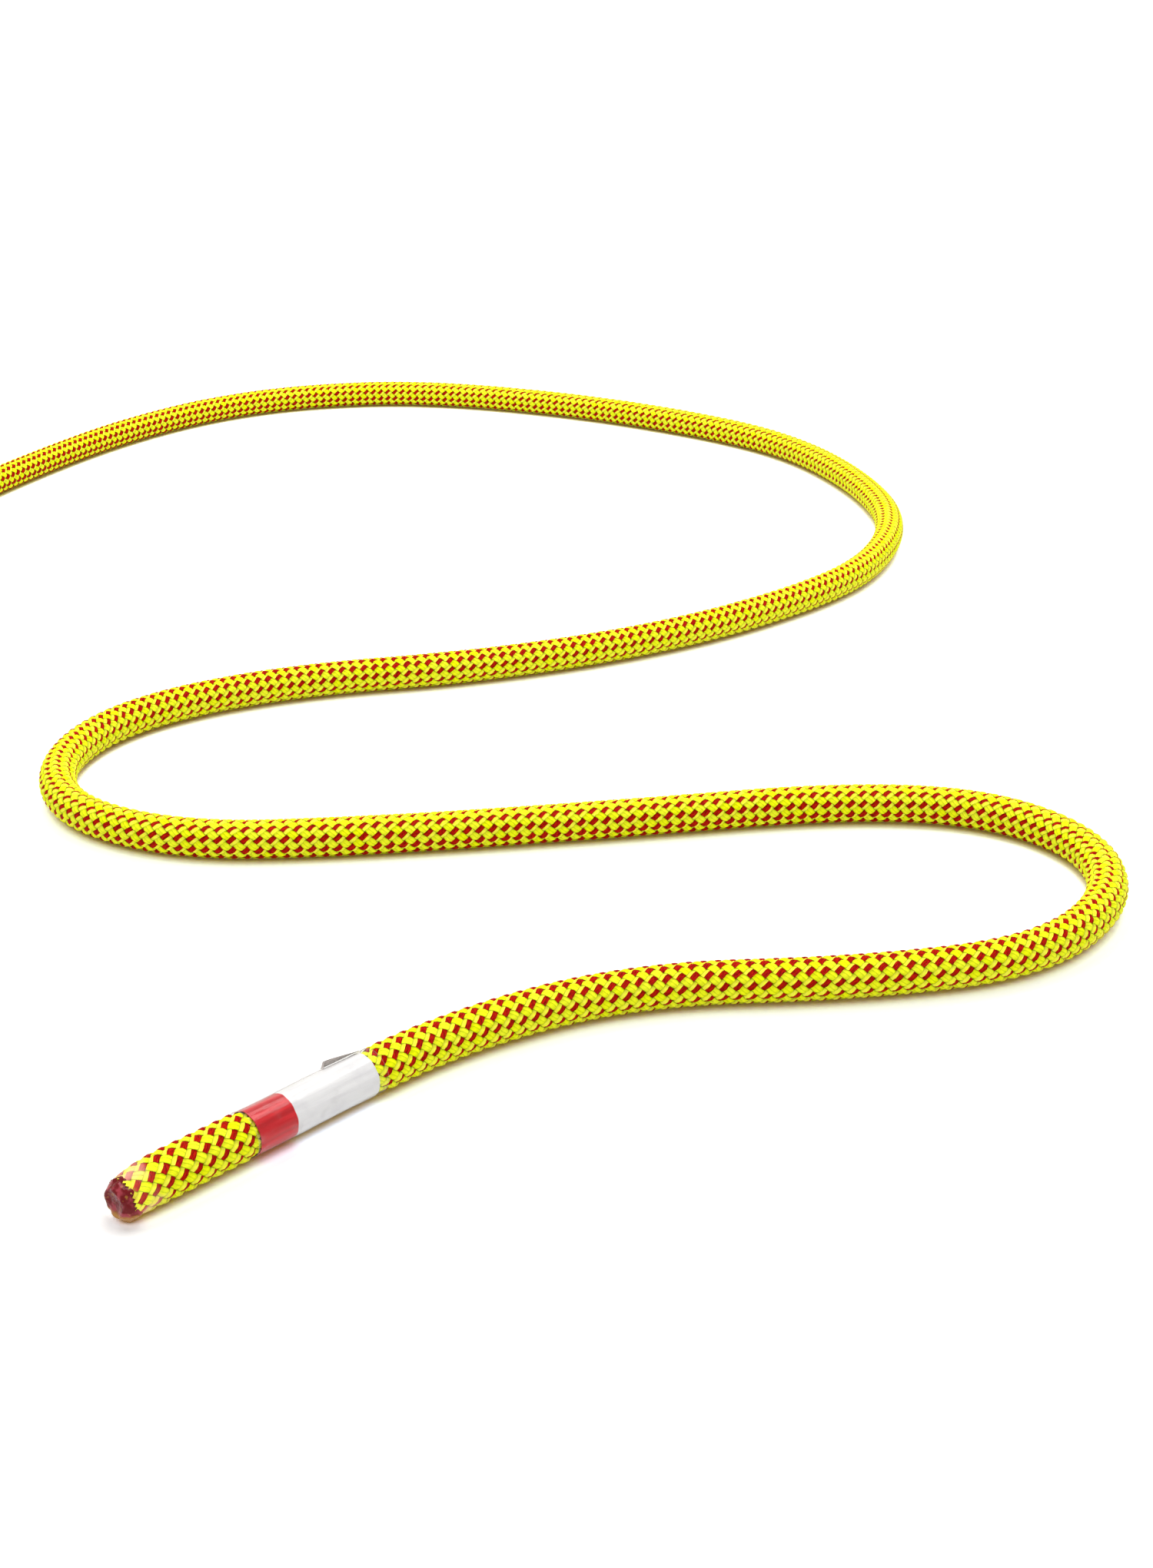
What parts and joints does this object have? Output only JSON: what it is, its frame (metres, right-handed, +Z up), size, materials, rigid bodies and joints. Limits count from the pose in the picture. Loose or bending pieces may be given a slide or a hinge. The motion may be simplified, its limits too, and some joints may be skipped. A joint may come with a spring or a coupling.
{
  "type": "dynamic climbing rope",
  "caption": "Braided kernmantle rope with melted ends and a banded end label under clear film; the near end lies in hairpins and the rest is a tied round coil.",
  "frame": {"origin": "on the surface that the rope lies on, under the middle of the whole layout", "axes": "+Z up from the surface, +Y away from the viewer of the picture, +X to the right, with the coil on the -X side"},
  "size_m": [0.6904, 0.6089, 0.0448],
  "materials": {
    "sheath": "tightly braided fluorescent yellow polyamide with red tracer yarns",
    "core": "twisted white polyamide strands",
    "melted_end": "sheath and core melted together by a hot knife, glazed and discoloured",
    "label": "printed film, white with a red band at the tip side",
    "clear_film": "clear shrink film",
    "strap": "woven strap with a hook and loop end"
  },
  "bodies": {
    "root": {"braided_sheath": "sheath", "core_strand_1": "core", "core_strand_2": "core", "core_strand_3": "core", "core_strand_4": "core", "core_strand_5": "core", "core_strand_6": "core", "coiled_length": "sheath", "near_end_seal": "melted_end", "far_end_seal": "melted_end", "end_label": "label", "clear_label_sleeve": "clear_film", "coil_tie_1": "strap", "coil_tie_2": "strap", "coil_tie_3": "strap"}
  },
  "joints": []
}
